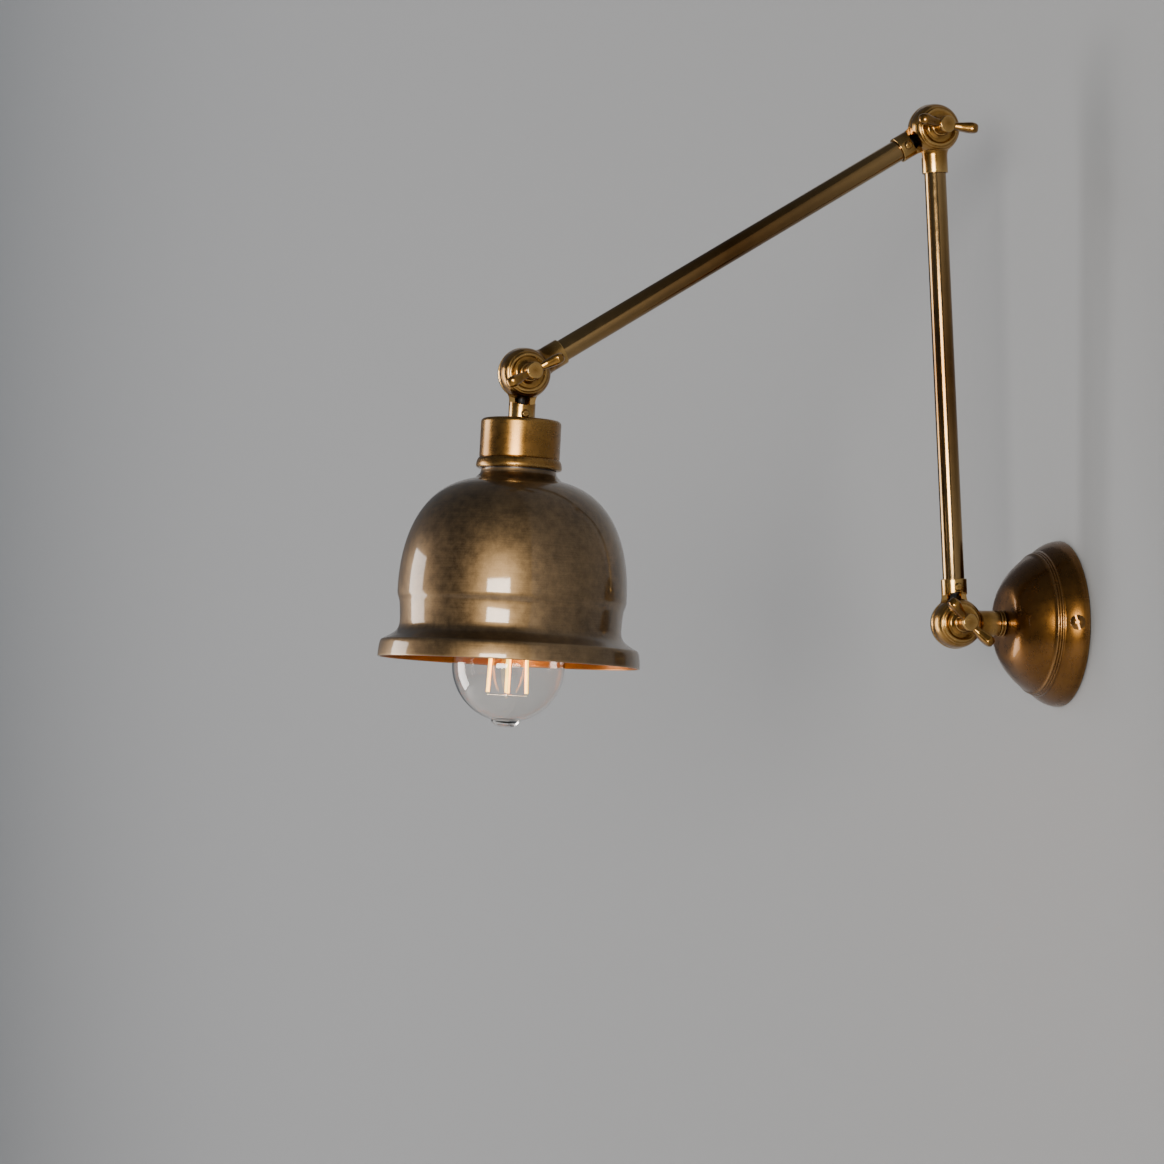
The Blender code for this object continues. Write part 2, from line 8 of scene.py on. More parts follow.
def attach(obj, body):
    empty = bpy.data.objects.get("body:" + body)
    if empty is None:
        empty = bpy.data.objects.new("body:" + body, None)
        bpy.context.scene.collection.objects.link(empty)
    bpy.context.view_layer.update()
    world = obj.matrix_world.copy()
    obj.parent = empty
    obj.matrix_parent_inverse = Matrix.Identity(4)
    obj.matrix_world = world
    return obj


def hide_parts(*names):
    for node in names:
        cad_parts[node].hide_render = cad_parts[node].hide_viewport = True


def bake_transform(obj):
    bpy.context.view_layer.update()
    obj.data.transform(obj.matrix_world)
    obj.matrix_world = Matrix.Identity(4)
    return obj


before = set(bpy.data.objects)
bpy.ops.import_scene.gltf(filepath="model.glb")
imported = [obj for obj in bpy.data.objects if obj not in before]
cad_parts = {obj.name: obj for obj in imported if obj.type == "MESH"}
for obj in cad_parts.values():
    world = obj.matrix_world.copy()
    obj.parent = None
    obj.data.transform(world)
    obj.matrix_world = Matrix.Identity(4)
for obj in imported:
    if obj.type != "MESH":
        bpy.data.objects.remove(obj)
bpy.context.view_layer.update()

# ---------------------------------------------------------------------------
# Viewpoint. A long lens a little below the lamp, looking across the wall, so
# the arms stand in profile and the canopy is seen from its side.

camera = bpy.data.objects.new("camera", bpy.data.cameras.new("camera"))
bpy.context.collection.objects.link(camera)
camera.data.sensor_width = 36.0
camera.data.lens = 127.32
camera.data.clip_end = 60.0
camera.location = (2.26386, -0.93868, -0.0563)
camera.rotation_euler = (np.radians(91.91), 0.0, np.radians(74.08))
bpy.context.scene.camera = camera

# ---------------------------------------------------------------------------
# Room. A pale floor well below, and the painted wall the lamp is fixed to. The
# wall is a thin sheet that can only be seen from its front, with the round hole
# for the wiring box behind the canopy.


def sheet_of_room(name, corners, faces=((0, 1, 2, 3),)):
    """A flat sheet; corners run anticlockwise seen from its front."""
    mesh = bpy.data.meshes.new(name)
    mesh.from_pydata(corners, [], faces)
    sheet = bpy.data.objects.new(name, mesh)
    bpy.context.collection.objects.link(sheet)
    return sheet


def plain_paint(name, colour, one_sided):
    """Matt paint with the faintest roller texture; one-sided paint clears at the back."""
    paint = bpy.data.materials.new(name)
    paint.use_nodes = True
    tree = paint.node_tree
    skin = tree.nodes["Principled BSDF"]
    skin.inputs["Base Color"].default_value = (*colour, 1.0)
    skin.inputs["Roughness"].default_value = 0.75
    skin.inputs["Specular IOR Level"].default_value = 0.25
    where = tree.nodes.new("ShaderNodeTexCoord")
    stipple = tree.nodes.new("ShaderNodeTexNoise")
    stipple.inputs["Scale"].default_value = 420.0
    bump = tree.nodes.new("ShaderNodeBump")
    bump.inputs["Strength"].default_value = 0.04
    bump.inputs["Distance"].default_value = 0.0005
    tree.links.new(where.outputs["Object"], stipple.inputs["Vector"])
    tree.links.new(stipple.outputs["Fac"], bump.inputs["Height"])
    tree.links.new(bump.outputs["Normal"], skin.inputs["Normal"])
    if one_sided:
        behind = tree.nodes.new("ShaderNodeNewGeometry")
        clear = tree.nodes.new("ShaderNodeBsdfTransparent")
        either = tree.nodes.new("ShaderNodeMixShader")
        tree.links.new(behind.outputs["Backfacing"], either.inputs[0])
        tree.links.new(skin.outputs[0], either.inputs[1])
        tree.links.new(clear.outputs[0], either.inputs[2])
        tree.links.new(either.outputs[0], tree.nodes["Material Output"].inputs["Surface"])
    return paint


hole_radius, wall_gap = 0.0468, 0.0006
half_width, wall_top, floor_drop = 9.0, 4.0, 2.2
spokes = 96
angle = np.linspace(0.0, 2 * np.pi, spokes, endpoint=False)
sideways, upwards = np.cos(angle), np.sin(angle)
to_side = half_width / np.maximum(abs(sideways), 1e-6)
to_top_or_floor = np.where(upwards > 0, wall_top, floor_drop) / np.maximum(abs(upwards), 1e-6)
reach = np.concatenate([hole_radius * np.ones(spokes), np.minimum(to_side, to_top_or_floor)])
wall_points = np.stack([reach * np.tile(sideways, 2), wall_gap + 0.0 * reach,
                        reach * np.tile(upwards, 2)], axis=1)
this = np.arange(spokes)
following = (this + 1) % spokes
wall_faces = np.stack([this, this + spokes, following + spokes, following], axis=1).tolist()
wall = sheet_of_room("wall_paint", wall_points, wall_faces)
wall.data.materials.append(plain_paint("wall_grey", (0.220, 0.230, 0.241), True))
floor_corners = [(half_width * side, half_width * out, -floor_drop)
                 for side, out in ((-1, -1), (1, -1), (1, 1), (-1, 1))]
floor = sheet_of_room("floor", floor_corners)
floor.data.materials.append(plain_paint("floor_pale", (0.62, 0.615, 0.61), False))

# ---------------------------------------------------------------------------
# Light. A tall soft box on the lamp's far side, a squarer one beside the viewer,
# one that washes the wall and isn't reflected, one behind the wall for the
# canopy's open back, and an even grey surround.


def soft_box(name, place, aim, size, power, colour):
    lamp = bpy.data.lights.new(name, "AREA")
    lamp.shape = "RECTANGLE"
    lamp.size, lamp.size_y = size
    lamp.energy = power
    lamp.color = colour
    box = bpy.data.objects.new(name, lamp)
    bpy.context.collection.objects.link(box)
    box.location = place
    box.rotation_euler = (Vector(aim) - Vector(place)).to_track_quat("-Z", "Y").to_euler()
    box.visible_camera = False
    return box


centre = (0.0, -0.2, 0.1)
soft_box("side_box", (-2.75, -3.85, -0.35), centre, (1.9, 3.4), 195.0, (1.0, 0.93, 0.88))
soft_box("front_box", (4.20, -2.60, 0.16), centre, (1.9, 1.25), 330.0, (1.0, 0.93, 0.84))
wall_wash = soft_box("wall_wash", (-4.6, -5.3, 3.0), (-4.4, 0.0, 0.0), (4.0, 1.8), 180.0, (0.96, 0.98, 1.0))
wall_wash.visible_glossy = False
soft_box("rear_box", (1.5, 4.2, 2.4), (0.0, 0.5, 0.0), (2.6, 2.0), 190.0, (1.0, 0.98, 0.96))

surround = bpy.data.worlds.new("surround")
surround.use_nodes = True
surround.node_tree.nodes["Background"].inputs["Color"].default_value = (0.31, 0.33, 0.36, 1.0)
surround.node_tree.nodes["Background"].inputs["Strength"].default_value = 0.42
bpy.context.scene.world = surround

# ---------------------------------------------------------------------------
# Canopy. A spun sheet-brass dome with three fine beads rolled where the flank
# meets the dome. It is held to the bracket by a slotted screw on each side.


def eased(corners, radius, pieces=4):
    """An open run of points (r, h) whose inner corners are quadratic curves."""
    p = np.asarray(corners, float)
    back, on = p[:-2] - p[1:-1], p[2:] - p[1:-1]
    back_len = np.linalg.norm(back, axis=1, keepdims=True)
    on_len = np.linalg.norm(on, axis=1, keepdims=True)
    a = p[1:-1] + back / back_len * np.minimum(radius, 0.48 * back_len)
    b = p[1:-1] + on / on_len * np.minimum(radius, 0.48 * on_len)
    t = np.linspace(0.0, 1.0, pieces + 1)[None, :, None]
    bend = (1 - t) ** 2 * a[:, None] + 2 * t * (1 - t) * p[1:-1, None] + t ** 2 * b[:, None]
    return np.vstack([p[:1], bend.reshape(-1, 2), p[-1:]])


def spread(profile, step):
    """The same run with more points, none further apart than step."""
    p = np.asarray(profile, float)
    s = np.concatenate([[0.0], np.cumsum(np.linalg.norm(np.diff(p, axis=0), axis=1))])
    at = np.unique(np.round(np.concatenate([s, np.arange(0.0, s[-1], step)]), 4))
    at = at[np.concatenate([[True], np.diff(at) > 0.02])]
    return np.stack([np.interp(at, s, p[:, 0]), np.interp(at, s, p[:, 1])], axis=1)


def walled(outer, thick):
    """An outer run and its copy moved inwards by thick along the normals, as one loop."""
    run = np.gradient(outer, axis=0)
    run /= np.linalg.norm(run, axis=1, keepdims=True)
    inner = outer - thick * np.stack([run[:, 1], -run[:, 0]], axis=1)
    return np.vstack([outer, inner[::-1]])


def leaning(pivot, lean):
    """Local mm to the lamp's metres: local Z lies lean degrees above level, outwards."""
    a = np.radians(90.0 - lean)
    turn = np.array([[1, 0, 0], [0, np.cos(a), -np.sin(a)], [0, np.sin(a), np.cos(a)]])
    return lambda points: (points @ turn.T + np.asarray(pivot)) * 0.001


def skinned(name, grid, place, closed_rows, marks=None):
    """A mesh over a grid of points (rows, round, 3), closed round each row. A row that is
    one point becomes a pole. marks are values at the points, kept at the face corners."""
    rows, around = grid.shape[:2]
    index = np.arange(rows * around).reshape(rows, around)
    same = np.ptp(grid, axis=1).max(axis=1) < 1e-6
    index[same] = index[same][:, :1]
    index = np.hstack([index, index[:, :1]])
    if closed_rows:
        index = np.vstack([index, index[:1]])
    faces = np.stack([index[:-1, :-1], index[:-1, 1:], index[1:, 1:], index[1:, :-1]], axis=-1).reshape(-1, 4)
    low, high = faces[:, 0] == faces[:, 1], faces[:, 2] == faces[:, 3]
    quads = faces[~low & ~high]
    tris = np.vstack([faces[low & ~high][:, [0, 2, 3]], faces[high & ~low][:, [0, 1, 2]]])
    used, flat = np.unique(np.concatenate([quads.ravel(), tris.ravel()]), return_inverse=True)
    quads, tris = flat[: quads.size].reshape(-1, 4), flat[quads.size:].reshape(-1, 3)
    points = grid.reshape(-1, 3)[used]
    mesh = bpy.data.meshes.new(name)
    mesh.from_pydata(place(points), [], quads.tolist() + tris.tolist())
    corners = np.zeros(len(mesh.loops), np.int32)
    mesh.loops.foreach_get("vertex_index", corners)
    for key, value in (marks or {}).items():
        value = value.reshape(rows * around, -1)[used][corners]
        kind, field = ("FLOAT_VECTOR", "vector") if value.shape[1] == 3 else ("FLOAT", "value")
        mesh.attributes.new(key, kind, "CORNER").data.foreach_set(field, value.astype(np.float32).ravel())
    mesh.shade_smooth()
    mesh.set_sharp_from_angle(angle=np.radians(38.0))
    mesh.validate()
    piece = bpy.data.objects.new(name, mesh)
    bpy.context.collection.objects.link(piece)
    return piece


def turned(name, profile, steps, place, marks=True):
    """Profile points (r, h) carried round local Z: (r cos a, r sin a, h). It keeps two
    marks: turning, (r cos a, r sin a, way along the profile) in mm, and edge, how sharply
    the profile bends outwards within a millimetre of the point."""
    p = np.asarray(profile, float)
    ring = p[0, 0] > 0 or p[-1, 0] > 0
    nxt = np.roll(p, -1, axis=0)
    if np.sum(p[:, 0] * nxt[:, 1] - nxt[:, 0] * p[:, 1]) < 0:
        p = p[::-1]
    a = np.linspace(0.0, 2 * np.pi, steps, endpoint=False)
    grid = np.stack([p[:, :1] * np.cos(a), p[:, :1] * np.sin(a), np.repeat(p[:, 1:], steps, 1)], axis=-1)
    step = np.linalg.norm(np.diff(p, axis=0), axis=1)
    s = np.concatenate([[0.0], np.cumsum(step)])
    heading = np.unwrap(np.arctan2(*np.diff(p, axis=0).T[::-1]))
    bend = np.concatenate([[0.0], np.diff(heading), [0.0]])
    near = np.exp(-((s[:, None] - s[None, :]) / 0.7) ** 2)
    edge = np.clip(near @ bend * 0.9, 0.0, 1.0)
    turning = grid.copy()
    turning[..., 2] = s[:, None]
    keep = {"turning": turning, "edge": np.repeat(edge[:, None], steps, 1)} if marks else None
    return skinned(name, grid, place, ring, marks=keep)


def add_node(tree, kind, **sockets):
    """A shader node with its input sockets set by name."""
    made = tree.nodes.new(kind)
    for key, value in sockets.items():
        made.inputs[key.replace("_", " ")].default_value = value
    return made


def tarnish_group():
    """Where brass has darkened: broad clouds, finger-sized mottle and tiny flecks,
    three noises on Object coordinates, each put out as a value from 0 to 1."""
    group = bpy.data.node_groups.new("tarnish", "ShaderNodeTree")
    for key, default in (("Cloud size", 22.0), ("Mottle size", 110.0), ("Fleck size", 900.0)):
        socket = group.interface.new_socket(key, in_out="INPUT", socket_type="NodeSocketFloat")
        socket.default_value = default
    for key in ("Cloud", "Mottle", "Fleck"):
        group.interface.new_socket(key, in_out="OUTPUT", socket_type="NodeSocketFloat")
    inside, outside = group.nodes.new("NodeGroupInput"), group.nodes.new("NodeGroupOutput")
    where = group.nodes.new("ShaderNodeTexCoord")
    for key, detail, low, high in (("Cloud", 4.0, 0.36, 0.64), ("Mottle", 5.0, 0.36, 0.66),
                                   ("Fleck", 2.0, 0.42, 0.68)):
        noise = add_node(group, "ShaderNodeTexNoise", Detail=detail, Roughness=0.58)
        ramp = add_node(group, "ShaderNodeMapRange", From_Min=low, From_Max=high)
        group.links.new(where.outputs["Object"], noise.inputs["Vector"])
        group.links.new(inside.outputs[key + " size"], noise.inputs["Scale"])
        group.links.new(noise.outputs["Fac"], ramp.inputs["Value"])
        group.links.new(ramp.outputs["Result"], outside.inputs[key])
    return group


def lathe_line_group():
    """Fine lines left by turning and polishing, running round the piece: a noise on the
    turning mark, long round the axis and short along the profile."""
    group = bpy.data.node_groups.new("lathe_lines", "ShaderNodeTree")
    group.interface.new_socket("Lines", in_out="OUTPUT", socket_type="NodeSocketFloat")
    outside = group.nodes.new("NodeGroupOutput")
    mark = group.nodes.new("ShaderNodeAttribute")
    mark.attribute_name = "turning"
    stretch = add_node(group, "ShaderNodeMapping", Scale=(0.035, 0.035, 2.6))
    noise = add_node(group, "ShaderNodeTexNoise", Scale=1.0, Detail=5.0, Roughness=0.7)
    group.links.new(mark.outputs["Vector"], stretch.inputs["Vector"])
    group.links.new(stretch.outputs["Vector"], noise.inputs["Vector"])
    group.links.new(noise.outputs["Fac"], outside.inputs["Lines"])
    return group


tarnish, lathe_lines = tarnish_group(), lathe_line_group()


def aged_brass(name, deep, main, worn, rough, sizes=(22.0, 110.0, 900.0), blotch=1.0, lines=0.35,
               worn_edge=0.8, coat=0.5):
    """Lacquered old brass. Colour goes from deep to main with the clouds and mottle and to
    worn on outward edges; roughness follows the flecks and lathe lines."""
    metal = bpy.data.materials.new(name)
    metal.use_nodes = True
    tree = metal.node_tree
    skin = tree.nodes["Principled BSDF"]
    skin.inputs["Metallic"].default_value = 1.0
    skin.inputs["Coat Weight"].default_value = coat
    skin.inputs["Coat Roughness"].default_value = 0.07
    age = tree.nodes.new("ShaderNodeGroup")
    age.node_tree = tarnish
    for key, size in zip(("Cloud size", "Mottle size", "Fleck size"), sizes):
        age.inputs[key].default_value = size
    cut = tree.nodes.new("ShaderNodeGroup")
    cut.node_tree = lathe_lines
    edge = tree.nodes.new("ShaderNodeAttribute")
    edge.attribute_name = "edge"

    def sums(operation, a, b, clamp=False):
        made = tree.nodes.new("ShaderNodeMath")
        made.operation = operation
        made.use_clamp = clamp
        for slot, value in zip(made.inputs, (a, b)):
            if isinstance(value, (int, float)):
                slot.default_value = value
            else:
                tree.links.new(value, slot)
        return made.outputs[0]

    amount = sums("ADD", sums("MULTIPLY", age.outputs["Cloud"], 0.55),
                  sums("MULTIPLY", age.outputs["Mottle"], 0.33))
    amount = sums("ADD", amount, sums("MULTIPLY", age.outputs["Fleck"], 0.12))
    amount = sums("ADD", amount, sums("MULTIPLY", sums("SUBTRACT", cut.outputs["Lines"], 0.5), 0.9 * lines))
    amount = sums("ADD", sums("MULTIPLY", amount, blotch), 0.5 - 0.5 * blotch, True)
    tint = tree.nodes.new("ShaderNodeMix")
    tint.data_type = "RGBA"
    tint.inputs[6].default_value = (*deep, 1.0)
    tint.inputs[7].default_value = (*main, 1.0)
    tree.links.new(amount, tint.inputs[0])
    rubbed = tree.nodes.new("ShaderNodeMix")
    rubbed.data_type = "RGBA"
    rubbed.inputs[7].default_value = (*worn, 1.0)
    tree.links.new(tint.outputs[2], rubbed.inputs[6])
    tree.links.new(sums("MULTIPLY", edge.outputs["Fac"], worn_edge), rubbed.inputs[0])
    tree.links.new(rubbed.outputs[2], skin.inputs["Base Color"])
    grit = sums("ADD", sums("MULTIPLY", age.outputs["Fleck"], 0.03),
                sums("MULTIPLY", cut.outputs["Lines"], 0.16 * lines))
    grit = sums("ADD", grit, sums("MULTIPLY", age.outputs["Mottle"], 0.05))
    tree.links.new(sums("ADD", grit, rough - 0.05), skin.inputs["Roughness"])
    bump = add_node(tree, "ShaderNodeBump", Strength=0.25, Distance=0.00001)
    height = sums("ADD", sums("MULTIPLY", cut.outputs["Lines"], lines),
                  sums("MULTIPLY", age.outputs["Fleck"], 0.1))
    tree.links.new(height, bump.inputs["Height"])
    tree.links.new(bump.outputs["Normal"], skin.inputs["Normal"])
    return metal


def fit(piece, body, node, *finishes):
    """Give a piece its finishes and its body, and hide the CAD node it stands for."""
    for finish in finishes:
        piece.data.materials.append(finish)
    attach(piece, body)
    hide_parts(node)
    return piece


from_wall = leaning((0.0, 0.0, 0.0), 0.0)
canopy_radius, canopy_sheet = 49.0, 1.4
up_flank = np.linspace(0.0, 1.0, 26)[:, None]
flank = np.hstack([canopy_radius - 6.15 * up_flank ** 2.0, 0.2 + 12.9 * up_flank])
over_beads = np.linspace(0.0, 1.0, 46)
beads = np.stack([42.75 - 1.75 * over_beads, 13.3 + 3.9 * over_beads], axis=1)
swell = 0.30 * np.abs(np.sin(3 * np.pi * over_beads)) ** 0.7
beads += swell[:, None] * np.array([0.82, 0.57])

# The dome is part of a ball through the beads; it blends softly into the nearly flat crown.
ball_radius, bead_radius, bead_depth, crown_depth, softness = 48.0, 42.0, 14.7, 35.0, 1.1
dome_r = np.linspace(40.6, 17.0, 46)
ball_depth = bead_depth - np.sqrt(ball_radius ** 2 - bead_radius ** 2)
ball_depth = ball_depth + np.sqrt(ball_radius ** 2 - dome_r ** 2)
flat_depth = crown_depth - 0.0007 * (dome_r - 10.0) ** 2
dome_depth = -np.log(np.exp(-softness * ball_depth) + np.exp(-softness * flat_depth)) / softness
dome = np.stack([dome_r, dome_depth], axis=1)
crown = np.array([(13.0, 34.95), (9.5, 34.98), (5.5, 34.98)])
rim = eased([(47.7, 0.0), (48.9, 0.0), (canopy_radius, 0.35)], 0.3)
outside = np.vstack([rim[1:], flank[1:], beads[1:-1], dome[1:], crown])
plain = np.vstack([[(canopy_radius, 0.0)], flank[1:], dome[2:], crown])
inside = walled(plain, canopy_sheet)[len(plain):]
inside[-1] = (47.6, 0.0)
canopy = turned("canopy_shell", np.vstack([outside, inside]), 192, from_wall)
canopy_brass = aged_brass("canopy_brass", (0.080, 0.031, 0.005), (0.182, 0.083, 0.016), (0.42, 0.25, 0.10),
                          0.27, (26.0, 170.0, 1100.0), 0.5, 0.5, 0.45, 0.22)
fit(canopy, "wall_mount", "canopy", canopy_brass)

# ---------------------------------------------------------------------------
# Side screws of the canopy. Low domed heads with a straight slot, one on each
# flank and square to it, their shanks reaching through to the bracket.


def carved(piece, tools, operation="DIFFERENCE"):
    """The piece with each tool cut from it, or joined to it, as one closed mesh."""
    for tool in tools:
        step = piece.modifiers.new(tool.name, "BOOLEAN")
        step.operation = operation
        step.solver = "EXACT"
        step.object = tool
    bpy.context.view_layer.update()
    graph = bpy.context.evaluated_depsgraph_get()
    shape = piece.evaluated_get(graph)
    mesh = bpy.data.meshes.new_from_object(shape, preserve_all_data_layers=True, depsgraph=graph)
    piece.modifiers.clear()
    old = piece.data
    piece.data = mesh
    bpy.data.meshes.remove(old)
    for tool in tools:
        gone = tool.data
        bpy.data.objects.remove(tool)
        bpy.data.meshes.remove(gone)
    mesh.shade_smooth()
    mesh.set_sharp_from_angle(angle=np.radians(38.0))
    return piece


def block(name, size, centre_at, place):
    """A box of that size in mm about centre_at."""
    x, y, z = (np.array([-0.5, 0.5])[k] for k in np.indices((2, 2, 2)).reshape(3, -1))
    corner = np.stack([x * size[0], y * size[1], z * size[2]], axis=1) + np.asarray(centre_at)
    mesh = bpy.data.meshes.new(name)
    faces = [(0, 1, 3, 2), (4, 6, 7, 5), (0, 4, 5, 1), (2, 3, 7, 6), (0, 2, 6, 4), (1, 5, 7, 3)]
    mesh.from_pydata(place(corner), [], faces)
    made = bpy.data.objects.new(name, mesh)
    bpy.context.collection.objects.link(made)
    return made


def facing_x(place, at=0.0):
    """The same placing, with local Z laid along +X, at a distance along local Z."""
    turn = np.array([[0, 0, 1], [0, 1, 0], [-1, 0, 0]], float)
    return lambda points: place(points @ turn.T + np.array([0, 0, at]))


knuckle_brass = aged_brass("knuckle_brass", (0.150, 0.070, 0.014), (0.345, 0.188, 0.046), (0.60, 0.40, 0.15),
                           0.22, (50.0, 260.0, 1300.0), 1.0, 0.35, 0.5, 0.15)


screw_seat = np.array([47.05, 0.0, 7.3])
flank_tilt, slot_turn = np.radians(27.0), np.radians(17.0)


def on_flank(side):
    """Local Z square to the canopy's flank at the screw's seat, on one side."""
    c, q = np.cos(flank_tilt), np.sin(flank_tilt)
    basis = np.array([[0, -q, c], [1, 0, 0], [0, c, q]])
    flip = np.diag([side, side, 1.0])
    return lambda points: from_wall((points @ basis.T + screw_seat) @ flip)


slot_spin = np.array([[np.cos(slot_turn), -np.sin(slot_turn), 0],
                      [np.sin(slot_turn), np.cos(slot_turn), 0], [0, 0, 1]])
for name, side in (("canopy_screw_right", 1.0), ("canopy_screw_left", -1.0)):
    head = eased([(0, 2.3), (1.4, 2.2), (2.9, 1.75), (4.1, 1.0), (4.4, 0.6), (4.4, 0.3), (1.5, 0.3),
                  (1.5, -8.3), (0, -8.3)], 0.3)
    head[0, 0] = head[-1, 0] = 0.0
    screw = turned(name + "_body", head, 64, on_flank(side))
    slot = block("slot", (12.0, 1.1, 4.0), (0.0, 0.0, 2.4),
                 lambda points: on_flank(side)(points @ slot_spin.T))
    fit(carved(screw, [slot]), "wall_mount", name, canopy_brass)

# ---------------------------------------------------------------------------
# Collar. A small turned ring with one groove, where the stem meets the crown of
# the canopy.

collar = eased([(7.0, 35.3), (7.65, 35.7), (7.65, 36.1), (7.25, 36.4), (7.65, 36.7), (7.65, 38.4),
                (5.5, 38.4), (5.5, 35.3), (6.9, 35.3)], 0.15)
fit(turned("collar_ring", collar, 96, from_wall), "wall_mount", "stem_collar", knuckle_brass)

# ---------------------------------------------------------------------------
# Knuckles. Two cast and turned halves on one cross screw: a drum with stepped
# rings faces +X, a plain half ball backs it. Each has a socket stem, and the
# other half's stem is cut back to clear it, which leaves the dark gap.

base_at = np.array([0.0, -64.8, 0.0])
arm_length = 291.0
lower_lean, upper_lean, head_lean = 87.4, -31.0, -86.9


def along(lean):
    """Unit vector at lean degrees above level, outwards from the wall."""
    return np.array([0.0, -np.cos(np.radians(lean)), np.sin(np.radians(lean))])


elbow_at = base_at + arm_length * along(lower_lean)
head_at = elbow_at + arm_length * along(upper_lean)


def drum_profile():
    """Stepped rings, raised hub, wire space and screw hole of the front half."""
    face = eased([(14.75, 1.5), (14.6, 4.0), (14.1, 6.6), (13.3, 8.4), (12.5, 9.1), (12.25, 9.9),
                  (11.3, 10.1), (11.05, 10.8), (10.0, 11.0), (8.6, 10.6), (7.0, 10.9), (5.6, 12.2),
                  (5.1, 13.5), (3.4, 13.5)], 0.4)
    inner = eased([(3.4, 13.4), (3.4, 0.8), (6.5, 0.8), (6.5, 5.0), (11.2, 5.0), (11.2, 0.12), (14.65, 0.12),
                   (14.75, 0.3)], 0.1)
    return np.vstack([face, inner])


def ball_profile():
    """Half ball, wire space and blind screw hole of the back half."""
    a = np.radians(np.linspace(-1.0, -90.0, 34))
    ball = np.stack([15.0 * np.cos(a), 15.0 * np.sin(a)], axis=1)
    ball[-1, 0] = 0.0
    inner = eased([(0.0, -10.0), (3.4, -10.0), (3.4, -0.8), (6.5, -0.8), (6.5, -5.0), (11.5, -5.0),
                   (11.5, -0.15), (14.7, -0.15)], 0.25)
    return np.vstack([inner, ball])


def knuckle_half(name, front, place, seat, grub=None):
    """Turned half, joined to its stem, then cut by the saddle, the bore and the
    set screw's hole."""
    half = turned(name, drum_profile() if front else ball_profile(), 112, facing_x(place))
    root_h = np.linspace(10.5, 17.0, 14)
    root = np.stack([7.65 + 2.3 * ((17.0 - root_h) / 6.5) ** 2.6, root_h], axis=1)
    socket = eased([(7.65, 18.0), (7.65, 26.0), (0.0, 26.0)], 0.45)
    stem = turned("stem", np.vstack([[(0.0, 10.5)], root, socket]), 80, place)
    low, high = (-20.0, 0.15) if front else (-0.15, 20.0)
    saddle = turned("saddle", [(0.0, low), (18.4, low), (18.4, high), (0.0, high)], 128, facing_x(place))
    wire_way = [(0.0, 8.5), (4.5, 8.5), (4.5, 19.0), (seat, 19.0), (seat, 30.0), (0.0, 30.0)]
    bore = turned("bore", wire_way, 64, place)
    tools = [saddle, bore]
    if grub:
        grub_hole = [(0.0, 3.0), (2.5, 3.0), (2.5, 12.0), (0.0, 12.0)]
        tools.append(turned("grub", grub_hole, 32, facing_x(place, grub)))
    return carved(carved(half, [stem], "UNION"), tools)


def set_screw(name, place, at, foot):
    """A slotted grub screw standing a little proud of the socket."""
    body = eased([(0.0, foot), (2.2, foot), (2.2, 8.0), (1.6, 8.6), (0.0, 8.65)], 0.25)
    body[0, 0] = body[-1, 0] = 0.0
    screw = turned(name, body, 32, facing_x(place, at))
    return carved(screw, [block("slot", (1.0, 6.0, 0.55), (8.7, 0.0, at), place)])


halves = (
    ("base_front_half", True, base_at, 180.0, 5.3, None, "stem"),
    ("base_back_half", False, base_at, lower_lean, 6.7, 21.2, "lower_arm"),
    ("elbow_front_half", True, elbow_at, lower_lean + 180.0, 6.7, None, "lower_arm"),
    ("elbow_back_half", False, elbow_at, upper_lean, 6.7, 21.2, "upper_arm"),
    ("head_front_half", True, head_at, upper_lean + 180.0, 6.7, None, "upper_arm"),
    ("head_back_half", False, head_at, head_lean, 5.3, 23.4, "head"),
)
for node, front, pivot, lean, seat, grub, body in halves:
    place = leaning(pivot, lean)
    fit(knuckle_half(node + "_casting", front, place, seat, grub), body, node, knuckle_brass)
    if grub:
        screw_node = node.split("_")[0] + "_set_screw"
        foot = 6.75 if seat > 6 else 5.4
        fit(set_screw(screw_node + "_body", place, grub, foot), body, screw_node, knuckle_brass)

# ---------------------------------------------------------------------------
# Thumb screws. A turned brass boss with two flat wings swept forwards, on a
# threaded shank through both halves.


def wing_grid(turn):
    """One wing: a rounded oblong section (superellipse) carried outwards. Its centre
    sweeps forwards and its tip closes like the end of an ellipse."""
    straight_end, tip_length = 14.1, 4.4
    tip = straight_end + tip_length * np.sin(np.radians(np.linspace(4.0, 90.0, 26)))
    out = np.concatenate([np.linspace(2.6, straight_end, 30), tip])[:, None]
    axial = np.interp(out, [2.6, 8.0, 13.0, straight_end], [20.2, 21.9, 24.5, 25.0])
    disc = np.sqrt(np.clip(1.0 - (np.clip(out - straight_end, 0.0, None) / tip_length) ** 2, 0.0, 1.0))
    tall = np.interp(out, [2.6, 8.0, 13.0, straight_end], [3.3, 3.7, 4.3, 4.4]) * disc
    thick = np.interp(out, [2.6, 7.0, 13.0], [1.8, 2.3, 3.1]) * disc ** 0.5
    a = np.linspace(0.0, 2 * np.pi, 40, endpoint=False)[None, :]
    sx = np.sign(np.cos(a)) * np.abs(np.cos(a)) ** 0.62
    sy = np.sign(np.sin(a)) * np.abs(np.sin(a)) ** 0.62
    q = np.radians(turn)
    x = axial + tall * sx
    y = out * np.cos(q) - thick * sy * np.sin(q)
    z = out * np.sin(q) + thick * sy * np.cos(q)
    grid = np.stack([x, y, z], axis=-1)
    root = np.broadcast_to(grid[:1].mean(axis=1, keepdims=True), grid[:1].shape)
    return np.concatenate([root, grid])[:, ::-1]


